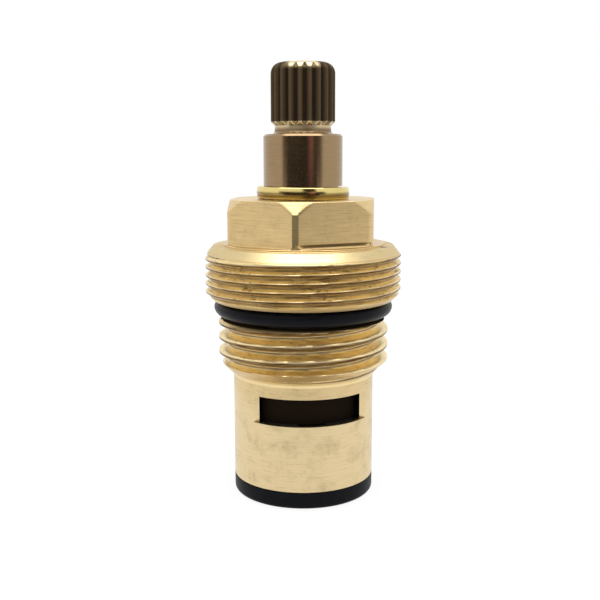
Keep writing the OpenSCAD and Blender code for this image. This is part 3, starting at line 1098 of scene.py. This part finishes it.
@dataclass
class Spindle:
    """Brass spindle with its spline, neck, stem, grooves, thrust collar and driving legs."""

    span: Extent = extent_field("spindle")
    seat: Extent = extent_field("headwork_body")
    clip: Extent = extent_field("retaining_clip")
    tip_r: float = 3.875
    tooth_depth: float = 0.575
    teeth: int = 20
    tip_half: float = 0.15
    # Columns on both sides of a tip's corner, as shares of its half width
    tip_columns: tuple[float, float] = (0.8, 1.3)
    root_half: float = 0.1
    tooth_turn: float = math.radians(4.5)
    crown_round: float = 1.3
    spline_len: float = 7.43
    foot_slope: float = 1.0
    neck_r: float = 3.4
    neck_len: float = 0.98
    neck_fillet: float = 0.5
    stem_r: float = 4.8
    stem_bevel: float = 0.25
    stem_ring: float = 3.0
    clip_groove_r: float = 4.25
    clip_play: float = 0.12
    seal_groove_r: float = 3.35
    seal_groove_half: float = 0.75
    seal_drops: tuple[float, float] = (6.8, 3.2)
    collar_r: float = 5.9
    collar_low: float = 20.05
    collar_high: float = 17.45
    hub_r: float = 5.3
    core_r: float = 3.4
    leg_r: float = 7.2
    leg_low: float = 26.45
    leg_high: float = 22.55
    leg_half: float = math.radians(52)
    tab_half: float = math.radians(38)
    tongue_length: float = 2.0
    tongue_half_width: float = 1.5
    tongue_depth: float = 1.2
    edge: float = 0.06
    overlap: float = 0.2
    hole: Thread = Thread(
        major=1.65, depth=-0.33, pitch=0.7, crest_flat=0.15, root_flat=0.1, crest_height=50.0, softness=0.2)
    hole_bevel: float = 0.4
    hole_depth: float = 11.0
    hole_rows: int = 150
    # Share of the spline's dark film from rolling with painted shade, which gives way to a painted highlight
    # on its crown on one side, towards the camera
    spline_soot: float = 0.96
    tip_shade_and_film: float = 0.82
    highlit_height: float = 0.9
    highlit_fade: float = 0.35
    highlit_half: float = math.radians(42)
    highlit_ramp: float = math.radians(16)
    highlit_rest: float = 0.12
    # Share of painted highlight on the spline's foot
    foot_highlit: float = 0.9
    # Share of painted shade on the neck
    neck_soot: float = 0.3

    def columns(self) -> np.ndarray:
        """Angles of the grid's columns: the corners of each tooth, its middle, and steps along its flanks."""
        pitch = 2 * math.pi / self.teeth
        tip = self.tip_half / self.tip_r
        root = pitch / 2 - self.root_half / (self.tip_r - self.tooth_depth)
        within, beyond = tip * np.array(self.tip_columns)
        side = np.concatenate([[within], np.linspace(beyond, root, 5)])
        one = np.concatenate([-side[::-1], [0.0], side, [pitch / 2]])
        return (one[None, :] + pitch * np.arange(self.teeth)[:, None]).ravel() + self.tooth_turn

    def toothed(self, angle: np.ndarray) -> np.ndarray:
        """Distance of the spline from the axis.

        The angle off a tooth's middle goes from the edge of the tip's flat to the edge of the root's flat,
        and the distance falls in step with it by the tooth's depth.

        Args:
            angle: Angle of each column.

        Returns:
            The distance for each column.
        """
        pitch = 2 * math.pi / self.teeth
        off = np.abs(np.mod(angle - self.tooth_turn + pitch / 2, pitch) - pitch / 2)
        tip = self.tip_half / self.tip_r
        root = pitch / 2 - self.root_half / (self.tip_r - self.tooth_depth)
        return self.tip_r - self.tooth_depth * np.clip((off - tip) / (root - tip), 0, 1)

    def grooves(self) -> np.ndarray:
        """Outside of the journal: up past the two seal grooves and the clip's groove to the stem.

        Returns:
            Profile points from the collar to the stem above the clip.
        """
        face = self.seat.high
        half = self.seal_groove_half
        bands = [(face - drop - half, face - drop + half, self.seal_groove_r) for drop in self.seal_drops]
        bands.append((self.clip.low - self.edge, self.clip.high + self.clip_play, self.clip_groove_r))
        return np.concatenate([
            [(self.stem_r, low), (floor, low), (floor, high), (self.stem_r, high)]
            for low, high, floor in bands])

    def profile(self) -> dict[str, np.ndarray]:
        """Turned profile without teeth, from the foot of the core up the outside and down the screw hole.

        Returns:
            Stretches of the profile by name, in order, as distance from the axis and height.
        """
        face = self.seat.high
        hub = face - self.leg_high - self.overlap
        collar_low, collar_high = face - self.collar_low, face - self.collar_high
        top = self.span.high
        spline = top - self.spline_len
        stem = spline - self.neck_len
        rise = (self.tip_r - self.neck_r) / self.foot_slope
        foot_z = np.linspace(spline, spline + rise, 7)
        crown = (self.tip_r - self.crown_round, top - self.crown_round)
        mouth = self.hole.major + self.hole_bevel
        deep = top - self.hole_depth
        hole_z = np.linspace(top - self.hole_bevel, deep, self.hole_rows)
        return {
            "core": np.array([
                (0.0, face - self.leg_low), (self.core_r, face - self.leg_low), (self.core_r, hub),
                (self.hub_r, hub), (self.hub_r, collar_low), (self.collar_r - self.edge, collar_low),
                (self.collar_r, collar_low + self.edge), (self.collar_r, collar_high - self.edge),
                (self.collar_r - self.edge, collar_high)]),
            "journal": np.concatenate([[(self.stem_r, collar_high)], self.grooves()]),
            "stem": np.array([
                (self.stem_r, stem - self.stem_ring), (self.stem_r, stem - self.stem_bevel - self.edge),
                (self.stem_r, stem - self.stem_bevel), (self.stem_r - self.stem_bevel, stem)]),
            "neck": arc(
                (self.neck_r + self.neck_fillet, stem + self.neck_fillet), self.neck_fillet, -90, -180, 5),
            "neck_top": np.array([(self.neck_r, spline)]),
            "spline_foot": np.stack([self.neck_r + (foot_z - spline) * self.foot_slope, foot_z], axis=1),
            "spline": upright(self.tip_r, foot_z[-1] + self.edge, crown[1] - self.edge, 5),
            "crown": arc(crown, self.crown_round, 0, 90, 14),
            "mouth": np.array([(mouth + self.edge, top), (mouth, top - self.edge)]),
            "hole": np.stack([np.full_like(hole_z, self.hole.major), hole_z], axis=1),
            "point": np.array([(0.0, deep - self.hole.major * self.foot_slope)]),
        }

    def mesh(self) -> bpy.types.Mesh:
        """Turns the profile, and cuts the teeth and the handle screw's thread.

        On the spline the distance from the axis is the smaller of the profile's and the tooth's, and in the
        hole it is the thread's, which goes outwards from the drilled size.

        Returns:
            Closed mesh without legs.
        """
        angle = self.columns()[None, :]
        rows, radius, height = unrolled(self.profile(), angle.size)
        teeth = self.toothed(angle)
        for key in ("spline_foot", "spline", "crown"):
            radius[rows[key]] = np.minimum(radius[rows[key]], teeth)
        threaded = slice(rows["hole"].start + 1, rows["hole"].stop - 1)
        radius[threaded] = self.hole.radius(angle, height[threaded])
        return grid_mesh("spindle", turned(radius, height, angle))

    def paint(self, mesh: bpy.types.Mesh) -> None:
        """Marks the spline's dark film with painted shade, the painted highlight on its crown and foot, and
        painted shade on the neck, in the hole and on the part inside, by place.

        Args:
            mesh: The spindle's finished mesh.
        """
        radius, angle, height = polar(places(mesh))
        mouth = self.hole.major + self.hole_bevel
        toothed = (height > self.span.high - self.spline_len) & (radius > mouth + self.edge)
        recess = np.clip((self.tip_r - radius) / self.tooth_depth, 0, 1)
        # A painted highlight on the crown, strongest towards the camera, and on the spline's foot
        off = apart(angle, CAMERA_ANGLE)
        side = np.clip((self.highlit_half - off) / self.highlit_ramp, self.highlit_rest, 1)
        highlit = side * np.clip((height - self.span.high + self.highlit_height) / self.highlit_fade, 0, 1)
        rise = (self.tip_r - self.neck_r) / self.foot_slope
        on_foot = height < self.span.high - self.spline_len + rise + self.edge / 2
        highlit = np.maximum(highlit, self.foot_highlit * on_foot)
        # The spline's dark film from rolling, with painted shade deeper between the teeth, and painted shade
        # on the neck
        film = self.spline_soot * toothed * (self.tip_shade_and_film + (1 - self.tip_shade_and_film) * recess) * (1 - highlit)
        film = np.where(toothed | (radius > self.neck_r + self.edge), film, self.neck_soot)
        # Painted shade below the body's face and down the screw hole
        hidden = (height < self.seat.high - self.edge) | (radius < mouth)
        plain = np.zeros_like(radius)
        mark(mesh, Domain.POINT, root=plain, fleck=plain, cut=plain, worn=highlit * toothed,
             soot=np.where(hidden, 1.0, film))

    def build(self) -> list[bpy.types.Object]:
        """Builds and dresses the spindle.

        Returns:
            The spindle as one piece.
        """
        face = self.seat.high
        piece = show("brass_spindle", self.mesh())
        leg = rounded_box_loop(
            self.core_r - self.overlap, self.leg_r, face - self.leg_low, face - self.leg_high, self.edge)
        tab = rounded_box_loop(
            self.core_r - self.overlap, self.leg_r, face - self.leg_high - 2 * self.overlap,
            face - self.collar_low, self.edge)
        tongue = rounded_box_loop(
            self.leg_r - self.tongue_length, self.leg_r - self.overlap,
            face - self.leg_low - self.tongue_depth, face - self.leg_low + self.overlap, self.edge)
        tongue_half = self.tongue_half_width / (self.leg_r - self.tongue_length / 2)
        for centre in (math.pi / 2, -math.pi / 2):
            for section, half in ((leg, self.leg_half), (tab, self.tab_half), (tongue, tongue_half)):
                combine(piece, sweep_mesh("leg", section, centre - half, centre + half, 41), Solid.JOIN)
        self.paint(piece.data)
        return [dress(piece, SPINDLE_BRASS.material(), Body.SPINDLE, "spindle")]


@dataclass
class RetainingClip:
    """Bright brass C-ring in the stem's groove, which lies a little askew on the hex."""

    span: Extent = extent_field("retaining_clip")
    inner_r: float = 4.3
    bulge: float = 0.1
    edge: float = 0.08
    drop: float = 0.04
    gap_half: float = math.radians(18)
    gap_angle: float = math.radians(90)
    lift: float = math.tan(math.radians(0.6))
    around: int = 181
    # Share of painted shade on the lower half, and the shares of the half height at which it comes in and
    # goes
    film: float = 0.8
    lower_shade_levels: tuple[float, ...] = (-0.9, -0.7, 0.0, 0.3)

    def build(self) -> list[bpy.types.Object]:
        """Builds and dresses the clip.

        The section's outer side bulges by a parabola over its height. It is carried round all but the gap,
        and each point is lifted in proportion to its distance from the right-hand edge, where the clip
        touches the hex.

        Returns:
            The clip as one piece.
        """
        low, high, outer = self.span.low - self.drop, self.span.high - self.drop, self.span.radius
        middle, half = (low + high) / 2, (high - low) / 2
        share = np.linspace(-1, 1, 15)
        side = np.stack([outer - self.bulge * share ** 2, middle + share * (half - self.edge)], axis=1)
        shoulder = outer - self.bulge - self.edge
        loop = np.concatenate([
            [(self.inner_r, low), (shoulder, low)], side,
            [(shoulder, high), (self.inner_r + self.edge, high), (self.inner_r, high - self.edge)]])
        start = self.gap_angle + self.gap_half
        stop = self.gap_angle + 2 * math.pi - self.gap_half
        mesh = sweep_mesh("retaining_clip", loop, start, stop, self.around)
        place = places(mesh)
        across = place @ np.array([math.cos(RIGHT_ANGLE), math.sin(RIGHT_ANGLE), 0.0])
        # Painted shade on the lower half, carried in the stain line
        film = np.interp((place[:, 2] - middle) / half, self.lower_shade_levels, [0.0, self.film, self.film, 0.0])
        plain = np.zeros_like(film)
        mark(mesh, Domain.POINT, root=film, fleck=plain, cut=plain, worn=plain, soot=plain)
        place[:, 2] += self.lift * (outer - across)
        mesh.vertices.foreach_set("co", (place * MM).ravel().astype(np.float32))
        piece = show("spring_clip", mesh)
        return [dress(piece, CLIP_BRASS.material(), Body.SPINDLE, "retaining_clip")]


@dataclass
class BodyORing:
    """Black O-ring, pushed up under the threaded flange."""

    span: Extent = extent_field("body_o_ring")
    centre_rise: float = 0.3
    bulge: float = 0.16
    around: int = 240
    section_points: int = 40

    def build(self) -> list[bpy.types.Object]:
        """Builds and dresses the O-ring.

        The section is half a circle below its widest level, and above it half an ellipse that the flange has
        flattened. Its outer side bulges in proportion to the distance from its middle. It is carried round a
        circle.

        Returns:
            The O-ring as one piece.
        """
        half = (self.span.high - self.span.low) / 2
        middle = self.span.low + half + self.centre_rise
        centre = self.span.radius - half
        section = arc((centre, 0.0), half, -90, 270, self.section_points + 1)[:-1]
        section[:, 0] += self.bulge * np.clip((section[:, 0] - centre) / half, 0, 1)
        section[:, 1] *= np.where(section[:, 1] > 0, (self.span.high - middle) / half, 1.0)
        angle = np.linspace(0, 2 * math.pi, self.around, endpoint=False)[None, :]
        points = turned(section[:, :1], section[:, 1:] + middle, angle)
        mesh = grid_mesh("body_o_ring", points, loop_rows=True)
        piece = show("flange_o_ring", mesh)
        return [dress(piece, O_RING_RUBBER.material(), Body.HEADWORK, "body_o_ring")]


@dataclass
class SeatSeal:
    """Black rubber seal that stands out below the disc housing."""

    span: Extent = extent_field("seat_seal")
    body: Extent = extent_field("headwork_body")
    bore_r: float = 5.8
    spigot_r: float = 8.1
    notch_r: float = 7.28
    notch_half: float = 1.12
    low_round: float = 0.5
    high_round: float = 0.12
    edge: float = 0.1
    lip: float = 1.2
    around: int = 240

    def build(self) -> list[bpy.types.Object]:
        """Builds and dresses the seal.

        The profile is turned, and the spigot steps in where the body's keys pass it.

        Returns:
            The seal as one piece.
        """
        low, high, outer = self.span.low, self.span.high, self.span.radius
        rim = self.body.low
        skirt = np.concatenate([
            [(self.bore_r + self.edge, low), (self.bore_r + self.lip, low)],
            arc((outer - self.low_round, low + self.low_round), self.low_round, -90, 0, 9),
            arc((outer - self.high_round, rim - self.high_round), self.high_round, 0, 90, 6)])
        spigot = np.array([
            (self.spigot_r, rim), (self.spigot_r, high - self.edge), (self.spigot_r - self.edge, high)])
        bore = np.array([
            (self.bore_r + self.edge, high), (self.bore_r, high - self.edge), (self.bore_r, low + self.edge)])
        parts = {"skirt": skirt, "spigot": spigot, "bore": bore}
        rows, radius, height = unrolled(parts, self.around)
        angle = np.linspace(0, 2 * math.pi, self.around, endpoint=False)[None, :]
        keyed = np.abs(np.sin(angle)) * self.spigot_r < self.notch_half
        band = rows["spigot"]
        radius[band] = np.where(keyed, np.minimum(radius[band], self.notch_r), radius[band])
        mesh = grid_mesh("seat_seal", turned(radius, height, angle), loop_rows=True)
        piece = show("rubber_seat_seal", mesh)
        return [dress(piece, SEAL_RUBBER.material(), Body.HEADWORK, "seat_seal")]


@dataclass
class InsidePieces:
    """Pieces inside the body, which keep their CAD shape."""

    finishes: dict[str, TurnedBrass | MouldedRubber | PaleSolid] = field(default_factory=lambda: {
        "upper_spindle_o_ring": O_RING_RUBBER, "lower_spindle_o_ring": O_RING_RUBBER, "thrust_washer": ACETAL,
        "moving_disc": SHADED_ALUMINA, "fixed_disc": ALUMINA, "seal_support_ring": SUPPORT_BRASS})

    def build(self) -> list[bpy.types.Object]:
        """Gives each CAD node its finish.

        Returns:
            The CAD nodes.
        """
        made = {finish: finish.material() for finish in dict.fromkeys(self.finishes.values())}
        pieces = []
        for node, finish in self.finishes.items():
            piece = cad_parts[node]
            piece.data.materials.clear()
            piece.data.materials.append(made[finish])
            pieces.append(piece)
        return pieces


@dataclass(frozen=True)
class Card:
    """Upright curved card on the photographer's side, which only reflections see."""

    name: str
    # Colours at angles in degrees round from the camera, positive towards the right of its picture
    tones: tuple[tuple[float, str], ...]
    distance: float
    low: float
    high: float
    # Height over which the lower edge fades from white
    fade: float
    columns: int = 97

    def build(self) -> None:
        """Builds the card, whose points lie on part of an upright cylinder around the axis.

        Each column's colour lies between those of its neighbouring tones, in proportion to its angle.
        """
        stops = np.array([stop for stop, _ in self.tones])
        light = np.array([linear(colour) for _, colour in self.tones])
        off = np.linspace(stops[0], stops[-1], self.columns)
        tone = np.stack([np.interp(off, stops, channel) for channel in light.T], axis=1)
        height = np.array([[self.low], [self.low + self.fade], [self.high]])
        points = turned(np.full_like(height, self.distance), height, CAMERA_ANGLE + np.radians(off)[None, :])
        rows, cols = points.shape[:2]
        first = (np.arange(rows - 1)[:, None] * cols + np.arange(cols - 1)[None, :]).ravel()
        quads = np.stack([first, first + 1, first + 1 + cols, first + cols], axis=1)
        mesh = bpy.data.meshes.new(self.name)
        mesh.from_pydata((points.reshape(-1, 3) * MM).tolist(), [], quads.tolist())
        layer = mesh.attributes.new("tone", "FLOAT_COLOR", "POINT")
        tones = np.concatenate([np.ones_like(tone), tone, tone])
        layer.data.foreach_set("color", tones.ravel().astype(np.float32))
        card = show(self.name, mesh)
        material, tree = blank_material(self.name)
        colour = add(tree, "Attribute", attribute_name="tone").outputs["Color"]
        glow = add(tree, "Emission", {"Color": colour, "Strength": 1.0}).outputs[0]
        add(tree, "OutputMaterial", {"Surface": glow})
        mesh.materials.append(material)
        card.visible_camera = card.visible_diffuse = card.visible_shadow = card.visible_transmission = False


@dataclass
class Studio:
    """White floor and world, a soft box overhead, dark cards on the camera's side, and the camera."""

    camera_distance: float = 111.2
    camera_height: float = 42.089
    camera_pitch: float = math.radians(9.276)
    camera_yaw: float = math.radians(0.203)
    camera_roll: float = math.radians(-0.114)
    lens: float = 54.356
    sensor: float = 36.0
    nearest: float = 5.0
    farthest: float = 20000.0
    floor_half: float = 2000.0
    floor_drop: float = 0.02
    floor_glow: float = 0.88
    ambient: float = 1.0
    box_height: float = 320.0
    box_forward: float = 60.0
    box_size: float = 300.0
    box_radiance: float = 2.2
    cards: tuple[Card, ...] = (
        Card("dim room", distance=200, low=16, high=80, fade=14, tones=(
            (-63, "#ffffff"), (-58, "#a39a94"), (-54, "#705f5e"), (-46, "#5a4d4c"), (-38, "#4c4a47"),
            (0, "#42413f"), (13, "#444341"), (17, "#a67c84"), (27, "#c4959e"), (31, "#565050"),
            (43, "#504d4b"), (49, "#6a645f"), (54, "#b0aaa4"), (60, "#ffffff"))),
        Card("dark camera", distance=198, low=2, high=34, fade=1, tones=(
            (-52, "#ffffff"), (-46, "#3c332e"), (-20, "#1c1512"), (12, "#1c1512"), (40, "#3c332e"),
            (45, "#ffffff"))),
        Card("photographer", distance=196, low=80, high=420, fade=1, tones=(
            (-4, "#ffffff"), (3, "#2c221c"), (30, "#3a2a24"), (36, "#ffffff"))))

    def in_front(self, distance: float, height: float) -> Vector:
        """Place in metres at a distance from the axis towards the camera and a height."""
        across = distance * math.cos(CAMERA_ANGLE) * MM
        return Vector((across, distance * math.sin(CAMERA_ANGLE) * MM, height * MM))

    def floor(self) -> None:
        """White floor, which glows to the camera and in reflections and takes the object's faint shadow."""
        half = self.floor_half * MM
        mesh = bpy.data.meshes.new("floor")
        level = -self.floor_drop * MM
        corners = [(x * half, y * half, level) for x, y in ((-1, -1), (1, -1), (1, 1), (-1, 1))]
        mesh.from_pydata(corners, [], [(0, 1, 2, 3)])
        floor = show("floor", mesh)
        material, tree = blank_material("white paper floor")
        paper = add(tree, "BsdfDiffuse", {"Color": linear("#ffffff")}).outputs[0]
        glow = add(tree, "Emission", {"Color": linear("#ffffff"), "Strength": 1.0}).outputs[0]
        share = add(tree, "Math", {0: self.seen(tree), 1: self.floor_glow}, operation="MULTIPLY").outputs[0]
        both = add(tree, "MixShader", {0: share, 1: paper, 2: glow}).outputs[0]
        add(tree, "OutputMaterial", {"Surface": both})
        mesh.materials.append(material)

    def seen(self, tree: bpy.types.NodeTree) -> bpy.types.NodeSocket:
        """One for a ray from the camera, a reflection or a transmission, and nothing for any other."""
        path = add(tree, "LightPath").outputs
        mirror = add(tree, "Math", {0: path["Is Glossy Ray"], 1: path["Is Transmission Ray"]},
                     operation="MAXIMUM").outputs[0]
        return add(tree, "Math", {0: path["Is Camera Ray"], 1: mirror}, operation="MAXIMUM").outputs[0]

    def world(self) -> None:
        """White all round."""
        world = bpy.data.worlds.new("white studio")
        bpy.context.scene.world = world
        world.use_nodes = True
        tree = world.node_tree
        tree.nodes.clear()
        light = add(tree, "Background", {"Color": linear("#ffffff"), "Strength": self.ambient}).outputs[0]
        add(tree, "OutputWorld", {"Surface": light})

    def soft_box(self) -> None:
        """Square lamp overhead, a little towards the camera. Its power is radiance times area times pi."""
        side = self.box_size * MM
        lamp = bpy.data.lights.new("overhead soft box", "AREA")
        lamp.shape = "SQUARE"
        lamp.size = side
        lamp.energy = self.box_radiance * side * side * math.pi
        box = bpy.data.objects.new("overhead soft box", lamp)
        box.location = self.in_front(self.box_forward, self.box_height)
        box.visible_camera = False
        bpy.context.scene.collection.objects.link(box)

    def camera(self) -> None:
        """Camera on the photographer's side, level with the stem and tipped down."""
        data = bpy.data.cameras.new("camera")
        data.lens, data.sensor_width = self.lens, self.sensor
        data.clip_start, data.clip_end = self.nearest * MM, self.farthest * MM
        camera = bpy.data.objects.new("camera", data)
        camera.location = self.in_front(self.camera_distance, self.camera_height)
        towards = CAMERA_ANGLE + math.pi + self.camera_yaw
        look = Vector((math.cos(towards) * math.cos(self.camera_pitch),
                       math.sin(towards) * math.cos(self.camera_pitch), -math.sin(self.camera_pitch)))
        roll = Quaternion((0, 0, 1), self.camera_roll)
        camera.rotation_euler = (look.to_track_quat("-Z", "Y") @ roll).to_euler()
        bpy.context.scene.collection.objects.link(camera)
        bpy.context.scene.camera = camera

    def build(self) -> None:
        """Sets the whole stage."""
        bpy.context.scene.view_settings.view_transform = "Standard"
        self.world()
        self.floor()
        self.soft_box()
        for card in self.cards:
            card.build()
        self.camera()


def main() -> None:
    """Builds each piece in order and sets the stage."""
    logging.basicConfig(level=logging.INFO, format="%(message)s")
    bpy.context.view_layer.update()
    for part in (HeadworkBody(), Spindle(), RetainingClip(), BodyORing(), SeatSeal(), InsidePieces()):
        for piece in part.build():
            LOG.info("%s: %d faces", piece.name, len(piece.data.polygons))
    Studio().build()
    bpy.context.view_layer.update()


if __name__ == "__main__":
    main()
